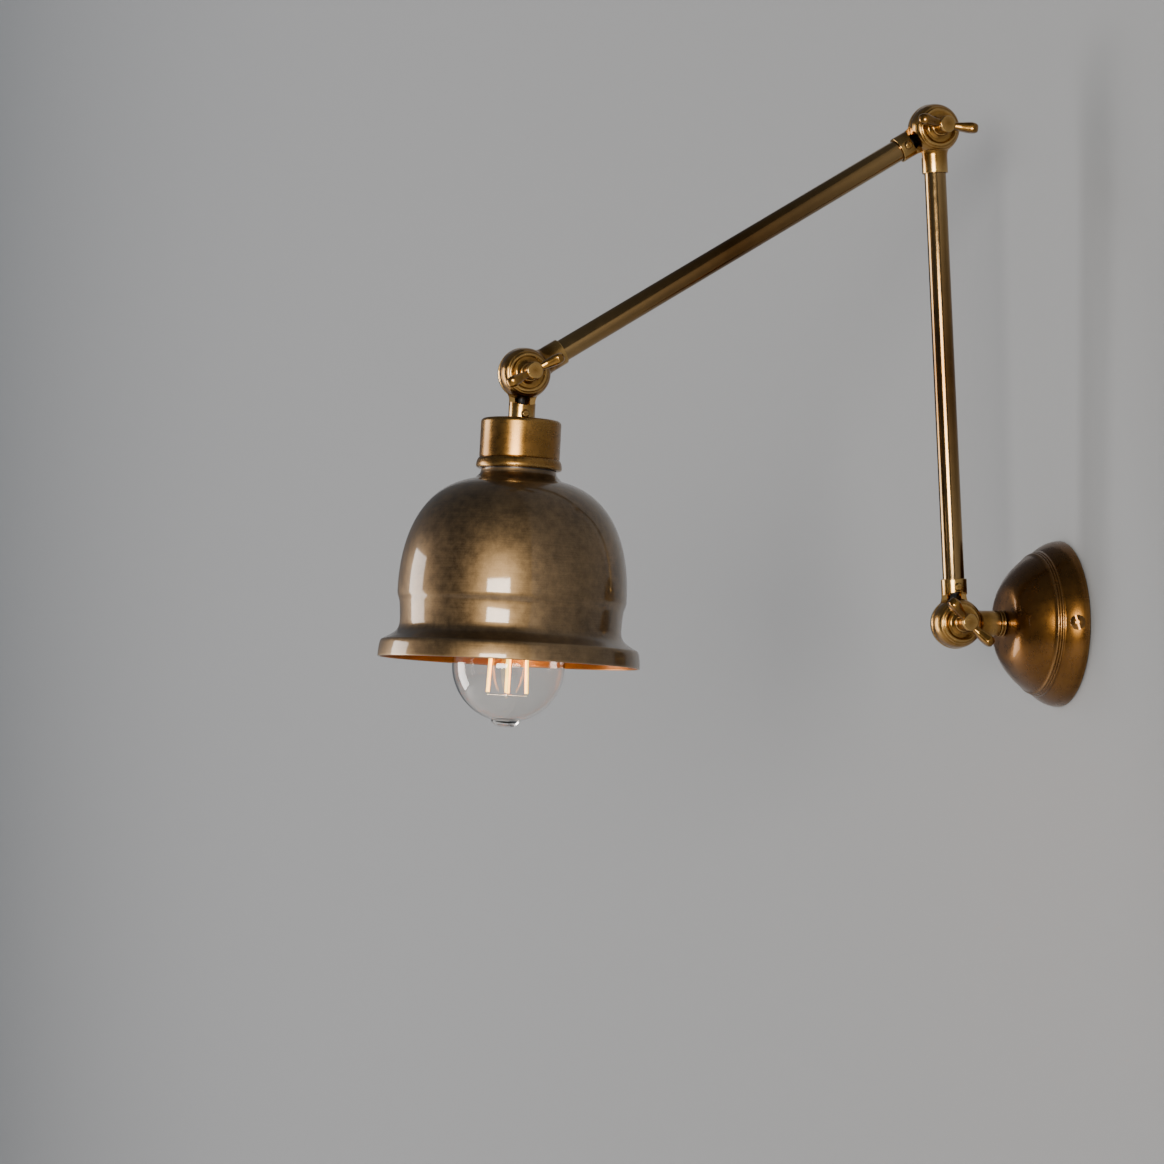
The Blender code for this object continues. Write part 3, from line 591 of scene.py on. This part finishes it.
def thumb_screw(name, pivot, turn):
    """The boss and shank on the knuckle's cross axis, with a wing on either side."""
    place = leaning(pivot, 90.0)
    shank = eased([(0.0, -9.5), (2.6, -9.5), (3.0, -9.1), (3.0, 13.8), (4.1, 13.8), (4.1, 15.3), (4.9, 16.0),
                   (4.9, 24.4), (4.3, 25.0), (0.0, 25.0)], 0.3)
    boss = turned(name, shank, 72, facing_x(place))
    wings = [skinned("wing", wing_grid(turn + half), place, False) for half in (0.0, 180.0)]
    return carved(boss, wings, "UNION")


for joint, pivot, turn, body in (("base", base_at, -45.0, "base_thumb"),
                                 ("elbow", elbow_at, -8.0, "elbow_thumb"),
                                 ("head", head_at, 27.0, "head_thumb")):
    node = joint + "_thumb_screw"
    fit(thumb_screw(node + "_body", pivot, turn), body, node, knuckle_brass)

# ---------------------------------------------------------------------------
# Arm tubes. Two equal lengths of drawn brass tube, pushed into a socket at each
# end. A set screw holds each tube at the end that comes first from the wall.

tube_brass = aged_brass("tube_brass", (0.078, 0.035, 0.009), (0.148, 0.073, 0.020), (0.5, 0.34, 0.15), 0.15,
                        (30.0, 200.0, 1000.0), 0.9, 0.2, 0.5, 0.1)
for node, start, lean in (("lower_arm", base_at, lower_lean), ("upper_arm", elbow_at, upper_lean)):
    wall_of_tube = eased([(6.4, 145.0), (6.4, 271.7), (5.4, 271.7), (5.4, 19.3), (6.4, 19.3),
                          (6.4, 144.9)], 0.25)
    tube = turned(node + "_tubing", wall_of_tube, 112, leaning(start, lean))
    fit(tube, node, node + "_tube", tube_brass)

# ---------------------------------------------------------------------------
# Flex. Black insulated wire from the wall to the lampholder. It shows in the
# gap of each knuckle, where it loops round the hub from one stem to the other.


def insulation(name):
    """Soft black plastic with a faint grain."""
    skin_mat = bpy.data.materials.new(name)
    skin_mat.use_nodes = True
    tree = skin_mat.node_tree
    skin = tree.nodes["Principled BSDF"]
    skin.inputs["Base Color"].default_value = (0.014, 0.014, 0.015, 1.0)
    where = tree.nodes.new("ShaderNodeTexCoord")
    grain = add_node(tree, "ShaderNodeTexNoise", Scale=700.0, Detail=3.0)
    gloss = add_node(tree, "ShaderNodeMapRange", To_Min=0.38, To_Max=0.6)
    bump = add_node(tree, "ShaderNodeBump", Strength=0.2, Distance=0.00005)
    tree.links.new(where.outputs["Object"], grain.inputs["Vector"])
    tree.links.new(grain.outputs["Fac"], gloss.inputs["Value"])
    tree.links.new(gloss.outputs["Result"], skin.inputs["Roughness"])
    tree.links.new(grain.outputs["Fac"], bump.inputs["Height"])
    tree.links.new(bump.outputs["Normal"], skin.inputs["Normal"])
    return skin_mat


def rounded_path(points, rounds=3):
    """The points with their corners cut again and again; the two ends stay."""
    for _ in range(rounds):
        before, after = points[:-1], points[1:]
        cut = np.stack([0.75 * before + 0.25 * after, 0.25 * before + 0.75 * after], axis=1)
        points = np.vstack([points[:1], cut.reshape(-1, 3), points[-1:]])
    return points


def carried(name, path, radius, place, sides=24):
    """A round section carried along a path, square to it, its ends closed."""
    way = np.gradient(path, axis=0)
    way /= np.linalg.norm(way, axis=1, keepdims=True)
    across = np.cross(way, np.array([1.0, 0.0, 0.02]))
    across /= np.linalg.norm(across, axis=1, keepdims=True)
    up = np.cross(way, across)
    a = np.linspace(0.0, 2 * np.pi, sides, endpoint=False)[None, :, None]
    grid = path[:, None] + radius * (np.cos(a) * across[:, None] + np.sin(a) * up[:, None])
    ends = [np.broadcast_to(path[k][None, None], grid[:1].shape) for k in (0, -1)]
    return skinned(name, np.concatenate([ends[0], grid, ends[1]]), place, False)


black_flex = insulation("black_flex")
as_is = leaning((0.0, 0.0, 0.0), 90.0)
for joint, pivot, front_lean, back_lean, a_body, b_body in (
        ("base", base_at, 180.0, lower_lean, "stem", "lower_arm"),
        ("elbow", elbow_at, lower_lean + 180.0, upper_lean, "lower_arm", "upper_arm"),
        ("head", head_at, upper_lean + 180.0, head_lean, "upper_arm", "head")):
    sweep = (back_lean - front_lean + 180.0) % 360.0 - 180.0
    share = np.linspace(1.0, 5.0, 5)[:, None] / 6.0
    loop_lean = np.radians(front_lean + sweep * share)
    middle = 9.1 * np.hstack([0 * share, -np.cos(loop_lean), np.sin(loop_lean)])
    middle[:, 0] = 2.35 * (1.0 - 2.0 * share[:, 0])
    back_end = 18.9 if joint == "head" else 17.1
    legs = [np.array([along(lean) * d + np.array([x * side, 0, 0])
                      for d, x in ((end, 0.6), (16.2, 2.1), (10.0, 2.35))])
            for lean, side, end in ((front_lean, 1.0, 17.1), (back_lean, -1.0, back_end))]
    path = rounded_path(np.vstack([legs[0], middle, legs[1][::-1]])) + pivot
    flex = carried(joint + "_flex_loop", path, 1.85, as_is)
    flex.data.materials.append(black_flex)
    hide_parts(joint + "_flex")
    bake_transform(flex)

# ---------------------------------------------------------------------------
# Lampholder cap. A drawn brass cup with a rolled bead at its open end, screwed
# down on the nipple of the head's knuckle.


def arc(centre_at, radius, start, stop, count):
    """Points (r, h) on an arc, angles in degrees from the r direction."""
    a = np.radians(np.linspace(start, stop, count))
    return np.stack([centre_at[0] + radius * np.cos(a), centre_at[1] + radius * np.sin(a)], axis=1)


from_head = leaning(head_at, head_lean)
cup = np.vstack([[(5.4, 26.4)], arc((20.6, 28.8), 2.4, -90.0, 0.0, 14),
                 eased([(23.0, 40.0), (23.0, 48.5), (22.6, 48.85), (23.4, 49.3), (24.1, 50.6), (24.5, 52.4),
                        (24.6, 53.6), (24.2, 54.6), (23.4, 55.0), (21.6, 55.0), (21.2, 54.6), (21.2, 30.6),
                        (19.2, 28.4), (5.4, 28.4)], 0.3, 5)])
cap_brass = aged_brass("cap_brass", (0.125, 0.058, 0.012), (0.262, 0.134, 0.033), (0.56, 0.38, 0.14), 0.27,
                       (36.0, 210.0, 1200.0), 0.9, 0.4, 0.4, 0.12)
fit(turned("cap_cup", cup, 144, from_head), "head", "lampholder_cap", cap_brass)

# ---------------------------------------------------------------------------
# Lampholder. A black moulded body, threaded outside for the ring that holds the
# shade. Its screw shell and contact come with the fixings further down.


def moulding(name, colour, rough):
    """Hard plastic with flow marks: colour and gloss drift with a soft noise."""
    hard = bpy.data.materials.new(name)
    hard.use_nodes = True
    tree = hard.node_tree
    skin = tree.nodes["Principled BSDF"]
    where = tree.nodes.new("ShaderNodeTexCoord")
    drift = add_node(tree, "ShaderNodeTexNoise", Scale=90.0, Detail=4.0)
    tint = tree.nodes.new("ShaderNodeMix")
    tint.data_type = "RGBA"
    tint.inputs[6].default_value = (*colour, 1.0)
    tint.inputs[7].default_value = (*(1.5 * c + 0.004 for c in colour), 1.0)
    gloss = add_node(tree, "ShaderNodeMapRange", To_Min=rough - 0.06, To_Max=rough + 0.1)
    tree.links.new(where.outputs["Object"], drift.inputs["Vector"])
    tree.links.new(drift.outputs["Fac"], tint.inputs[0])
    tree.links.new(tint.outputs[2], skin.inputs["Base Color"])
    tree.links.new(drift.outputs["Fac"], gloss.inputs["Value"])
    tree.links.new(gloss.outputs["Result"], skin.inputs["Roughness"])
    return hard


def threaded(name, profile, steps, place, low, high, pitch, depth):
    """Turned profile whose radius dips by depth in a round thread of that pitch
    between heights low and high: dip = depth * (1 - cos(2 pi (h / pitch - turns))) / 2."""
    piece = turned(name, profile, steps, lambda points: points, marks=False)
    mesh = piece.data
    at = np.zeros(len(mesh.vertices) * 3)
    mesh.vertices.foreach_get("co", at)
    at = at.reshape(-1, 3)
    r, turns = np.hypot(at[:, 0], at[:, 1]), np.arctan2(at[:, 1], at[:, 0]) / (2 * np.pi)
    fade = np.clip(np.minimum(at[:, 2] - low, high - at[:, 2]) / (0.5 * pitch), 0.0, 1.0)
    dip = depth * fade * 0.5 * (1 - np.cos(2 * np.pi * (at[:, 2] / pitch - turns)))
    dip[r < np.max(r) - 0.2] = 0.0
    at[:, :2] *= (1 - dip / np.maximum(r, 1e-6))[:, None]
    mesh.vertices.foreach_set("co", place(at).ravel())
    mesh.update()
    return piece


black_moulding = moulding("black_moulding", (0.016, 0.0155, 0.015), 0.34)
holder = spread(eased([(3.4, 33.6), (17.0, 33.6), (20.0, 36.0), (20.0, 84.0), (14.9, 84.0), (14.9, 57.0),
                       (3.4, 57.0)], 0.5), 0.4)
holder_body = threaded("holder_body", holder, 120, from_head, 57.0, 83.0, 2.4, 0.7)
fit(holder_body, "head", "lampholder_body", black_moulding)

# ---------------------------------------------------------------------------
# Shade ring. A turned brass nut, screwed up the lampholder from below, with a
# flange under the neck of the shade to hold it up.

ring_nut = eased([(20.4, 63.5), (20.4, 62.8), (25.0, 62.8), (25.0, 64.5), (23.3, 64.9), (23.3, 69.6),
                  (20.4, 69.6), (20.4, 63.6)], 0.3)
fit(turned("ring_nut", ring_nut, 96, from_head), "head", "shade_ring", cap_brass)

# ---------------------------------------------------------------------------
# Shade. A spun brass bell with a domed shoulder, a soft step in to the waist and
# a flared lip. Dark and mottled outside; inside, brass with the bulb's warm glow painted in.


def sheet_edge(outer, thick):
    """Both faces of a sheet as one loop, its far end rounded; also the first row of the inner face."""
    loop = walled(outer, thick)
    end, back = outer[-1], loop[len(outer)]
    middle = (end + back) / 2
    out = (outer[-1] - outer[-2]) / np.linalg.norm(outer[-1] - outer[-2])
    nose = [end * 0.9 + back * 0.1 + out * 0.15, middle + out * 0.25, end * 0.1 + back * 0.9 + out * 0.15]
    return np.vstack([outer, nose, loop[len(outer):]]), len(outer) + 2



def through(knots, pieces=4):
    """A smooth run through the knots: in each span a cubic whose end slopes are half
    the step between the neighbouring knots."""
    k = np.asarray(knots, float)
    k = np.vstack([2 * k[0] - k[1], k, 2 * k[-1] - k[-2]])
    a, b, c, d = (k[i:len(k) - 3 + i, None] for i in range(4))
    t = np.linspace(0.0, 1.0, pieces, endpoint=False)[None, :, None]
    run = b + 0.5 * t * (c - a + t * (2 * a - 5 * b + 4 * c - d + t * (3 * (b - c) + d - a)))
    return np.vstack([run.reshape(-1, 2), k[-2:-1]])


bell_radius, bell_foot, bell_height = 65.4, 127.5, 68.1
shade_sheet, shade_steps = 1.1, 240
up_bell = 1.0 - np.linspace(0.0, 0.97, 72) ** 1.5
up_bell = up_bell[up_bell < 0.9985]
bell_r = bell_radius * np.clip(1.0 - up_bell ** 2.2, 0.0, 1.0) ** (1 / 3.1)
bell = np.stack([bell_r, bell_foot - bell_height * up_bell], axis=1)
bell = bell[bell[:, 0] > 24.6]
neck_run = [(21.5, 55.6), (21.6, 56.6), (21.9, 57.6), (22.4, 58.4), (23.2, 59.1)]
skirt = through([bell[-1], (65.38, 127.6), (65.25, 129.0), (64.9, 130.4), (64.4, 131.8), (64.0, 133.2),
                 (63.7, 135.4), (63.45, 138.2), (63.3, 141.0), (63.2, 143.6), (63.3, 145.8), (63.8, 147.9),
                 (65.2, 150.2), (68.2, 152.5), (71.0, 154.1), (72.1, 154.75)])
lip = eased([(72.1, 154.75), (73.2, 155.2), (73.9, 156.6), (74.3, 158.8), (74.65, 161.4), (74.8, 164.0),
             (74.8, 165.1)], 1.2, 5)
loop, first_inside = sheet_edge(np.vstack([neck_run, bell[:-1], skirt[:-1], lip]), shade_sheet)
shade = turned("shade_bell", loop, shade_steps, from_head)
lining_faces = np.repeat((np.arange(len(loop)) >= first_inside).astype(np.int32), shade_steps)
shade.data.polygons.foreach_set("material_index", lining_faces)
shade_brass = aged_brass("shade_brass", (0.078, 0.048, 0.021), (0.225, 0.146, 0.069), (0.36, 0.23, 0.10), 0.38,
                         (22.0, 210.0, 1200.0), 1.0, 0.8, 0.35, 0.8)
# Inner face: real brass whose colour is pushed to coppery orange as painted glow of the bulb.
lining_brass_painted_glow = aged_brass("lining_brass_painted_glow", (0.20, 0.055, 0.006), (0.42, 0.130, 0.012), (0.5, 0.26, 0.08), 0.34,
                          (22.0, 180.0, 1000.0), 0.9, 0.7, 0.3, 0.1)
fit(shade, "head", "shade", shade_brass, lining_brass_painted_glow)

# ---------------------------------------------------------------------------
# Bulb. Clear blown globe with a pip at its end, a glass stem inside and four
# upright glowing strands held between two wires, on a nickel screw cap.


def glass(name, tint, strength):
    """Clear glass with faint ripples, which lets light straight through for shadows."""
    clear = bpy.data.materials.new(name)
    clear.use_nodes = True
    tree = clear.node_tree
    skin = tree.nodes["Principled BSDF"]
    skin.inputs["Base Color"].default_value = (*tint, 1.0)
    skin.inputs["Roughness"].default_value = 0.0
    skin.inputs["IOR"].default_value = 1.47
    skin.inputs["Transmission Weight"].default_value = 1.0
    where = tree.nodes.new("ShaderNodeTexCoord")
    ripple = add_node(tree, "ShaderNodeTexNoise", Scale=55.0, Detail=1.0)
    bump = add_node(tree, "ShaderNodeBump", Strength=strength, Distance=0.0004)
    tree.links.new(where.outputs["Object"], ripple.inputs["Vector"])
    tree.links.new(ripple.outputs["Fac"], bump.inputs["Height"])
    tree.links.new(bump.outputs["Normal"], skin.inputs["Normal"])
    ray = tree.nodes.new("ShaderNodeLightPath")
    straight = tree.nodes.new("ShaderNodeBsdfTransparent")
    straight.inputs["Color"].default_value = (0.97, 0.96, 0.94, 1.0)
    either = tree.nodes.new("ShaderNodeMixShader")
    tree.links.new(ray.outputs["Is Shadow Ray"], either.inputs[0])
    tree.links.new(skin.outputs[0], either.inputs[1])
    tree.links.new(straight.outputs[0], either.inputs[2])
    tree.links.new(either.outputs[0], tree.nodes["Material Output"].inputs["Surface"])
    return clear


globe_radius, globe_middle, join = 32.2, 167.0, 18.0
neck_end = np.array([globe_radius * np.cos(np.radians(join)),
                     globe_middle - globe_radius * np.sin(np.radians(join))])
down = np.linspace(0.0, 1.0, 40)[1:-1]
neck_r = 13.4 + (neck_end[0] - 13.4) * down ** 1.15 * (1.6 - 0.6 * down)
neck = np.stack([neck_r, 88.6 + (neck_end[1] - 88.6) * down], axis=1)
in_cap = [(11.6, 82.5), (11.65, 85.4), (11.9, 86.8), (12.5, 87.8)]
globe = np.vstack([in_cap, neck, arc((0.0, globe_middle), globe_radius, -join, 75.2, 70)])
pip = eased([(8.4, 198.3), (7.5, 200.0), (5.6, 201.4), (3.0, 202.0), (0.0, 202.1)], 1.8, 8)
inner = walled(globe, 0.8)[len(globe):]
bulb = np.vstack([[(0.0, 198.6)], eased([(4.5, 198.5), (6.6, 198.2), inner[0]], 0.8)[:-1], inner, globe, pip])
bulb[-1, 0] = 0.0
bulb_clear = glass("bulb_clear", (1.0, 0.985, 0.96), 0.05)
fit(turned("globe", bulb, 128, from_head, marks=False), "head", "bulb_glass", bulb_clear)
mount = eased([(0.0, 84.8), (8.6, 84.8), (5.0, 97.0), (2.9, 110.0), (2.9, 128.5), (1.6, 132.6),
               (0.0, 133.4)], 2.5, 8)
mount[0, 0] = mount[-1, 0] = 0.0
stem_clear = glass("stem_clear", (0.95, 0.97, 0.96), 0.1)
fit(turned("stem_glass", mount, 48, from_head, marks=False), "head", "bulb_stem", stem_clear)


def glowing(name):
    """Yellow coating over the lit strand: whitest in the middle, orange where the
    coating is seen edge-on, uneven along its length."""
    lit = bpy.data.materials.new(name)
    lit.use_nodes = True
    tree = lit.node_tree
    skin = tree.nodes["Principled BSDF"]
    skin.inputs["Base Color"].default_value = (0.9, 0.45, 0.12, 1.0)
    where = tree.nodes.new("ShaderNodeTexCoord")
    grain = add_node(tree, "ShaderNodeTexNoise", Scale=400.0, Detail=2.0)
    power = add_node(tree, "ShaderNodeMapRange", To_Min=2.0, To_Max=3.6)
    side = add_node(tree, "ShaderNodeLayerWeight", Blend=0.55)
    heat = tree.nodes.new("ShaderNodeMix")
    heat.data_type = "RGBA"
    heat.inputs[6].default_value = (1.0, 0.84, 0.15, 1.0)
    heat.inputs[7].default_value = (0.80, 0.29, 0.004, 1.0)
    tree.links.new(where.outputs["Object"], grain.inputs["Vector"])
    tree.links.new(grain.outputs["Fac"], power.inputs["Value"])
    tree.links.new(side.outputs["Facing"], heat.inputs[0])
    tree.links.new(heat.outputs[2], skin.inputs["Emission Color"])
    tree.links.new(power.outputs["Result"], skin.inputs["Emission Strength"])
    return lit


lit_strand = glowing("lit_strand")
strand_turn = 17.0
for k in range(4):
    a = np.radians(strand_turn + 90.0 * k)
    low = np.array([11.0 * np.cos(a), 11.0 * np.sin(a), 182.4])
    high = np.array([9.6 * np.cos(a), 9.6 * np.sin(a), 139.0])
    run = low + (high - low) * np.linspace(0.0, 1.0, 30)[:, None]
    strand = carried("strand_%d" % (k + 1), run, 1.05, from_head, 20)
    fit(strand, "head", "filament_%d" % (k + 1), lit_strand)


def plated(name, colour, rough):
    """Plated metal, a little cloudy, with fine scratches in the gloss."""
    metal = bpy.data.materials.new(name)
    metal.use_nodes = True
    tree = metal.node_tree
    skin = tree.nodes["Principled BSDF"]
    skin.inputs["Metallic"].default_value = 1.0
    where = tree.nodes.new("ShaderNodeTexCoord")
    cloud = add_node(tree, "ShaderNodeTexNoise", Scale=60.0, Detail=5.0)
    tint = tree.nodes.new("ShaderNodeMix")
    tint.data_type = "RGBA"
    tint.inputs[6].default_value = (*(0.75 * c for c in colour), 1.0)
    tint.inputs[7].default_value = (*colour, 1.0)
    scratch = add_node(tree, "ShaderNodeTexNoise", Scale=1500.0, Detail=2.0)
    gloss = add_node(tree, "ShaderNodeMapRange", To_Min=rough - 0.08, To_Max=rough + 0.12)
    tree.links.new(where.outputs["Object"], cloud.inputs["Vector"])
    tree.links.new(where.outputs["Object"], scratch.inputs["Vector"])
    tree.links.new(cloud.outputs["Fac"], tint.inputs[0])
    tree.links.new(tint.outputs[2], skin.inputs["Base Color"])
    tree.links.new(scratch.outputs["Fac"], gloss.inputs["Value"])
    tree.links.new(gloss.outputs["Result"], skin.inputs["Roughness"])
    return metal


nickel = plated("nickel", (0.70, 0.68, 0.64), 0.26)
for node, s, reach, hub in (("lower_filament_wire", 183.8, 11.4, 1.0),
                            ("upper_filament_wire", 137.2, 10.0, 2.2)):
    button = eased([(0.0, s - 0.6), (hub, s - 0.6), (hub, s + 0.6), (0.0, s + 0.6)], 0.25)
    knob = turned(node + "_hub", button, 32, from_head, marks=False)
    arms = []
    for k in range(2):
        a = np.radians(strand_turn + 90.0 * k)
        tip = reach * np.array([np.cos(a), np.sin(a), 0.0])
        run = np.array([0, 0, s]) + np.linspace(-1, 1, 9)[:, None] * tip
        arms.append(carried("spoke_%d" % k, run, 0.38, from_head, 12))
    fit(carved(knob, arms, "UNION"), "head", node, nickel)
cap_outside = [(12.2, 63.4), (12.9, 63.9), (13.3, 64.6), (13.3, 85.7), (13.0, 86.0), (12.2, 86.0)]
cap_wall = np.vstack([spread(cap_outside, 0.3), [(12.0, 63.5)]])
fit(threaded("screw_cap", cap_wall, 96, from_head, 64.6, 82.0, 4.2, 0.85), "head", "bulb_cap", nickel)

glow = bpy.data.lights.new("bulb_glow", "POINT")
glow.energy = 0.55
glow.color = (1.0, 0.38, 0.06)
glow.shadow_soft_size = 0.012
glow_at = bpy.data.objects.new("bulb_glow", glow)
bpy.context.collection.objects.link(glow_at)
glow_at.location = Vector(from_head(np.array([[0.0, 0.0, 160.0]]))[0])
glow_at.visible_camera = glow_at.visible_glossy = glow_at.visible_transmission = False
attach(glow_at, "head")

# ---------------------------------------------------------------------------
# Fixings inside. The zinc-plated bracket, terminal block, nipples, washers and
# nuts keep their own shapes, with corners eased, and take their own finishes.

zinc = plated("zinc", (0.62, 0.62, 0.60), 0.34)
cream = moulding("terminal_cream", (0.42, 0.40, 0.35), 0.42)
for finish, nodes in (
        (zinc, ("wall_bracket", "canopy_washer", "base_washer", "elbow_washer", "head_washer")),
        (nickel, ("bulb_contact",)),
        (black_moulding, ("bulb_insulator",)),
        (cream, ("terminal_block",)),
        (knuckle_brass, ("earth_screw", "canopy_nipple", "canopy_lock_nut", "neck_nipple", "neck_lock_nut",
                         "screw_shell", "centre_contact")),
        (black_flex, ("supply_flex", "lower_arm_flex", "upper_arm_flex"))):
    for node in nodes:
        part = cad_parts[node]
        part.data.materials.clear()
        part.data.materials.append(finish)
        weld = part.modifiers.new("weld", "WELD")
        weld.merge_threshold = 0.00002
        ease = part.modifiers.new("ease", "BEVEL")
        ease.width, ease.segments, ease.limit_method = 0.00015, 2, "ANGLE"
        ease.angle_limit = np.radians(40.0)
        ease.harden_normals = False
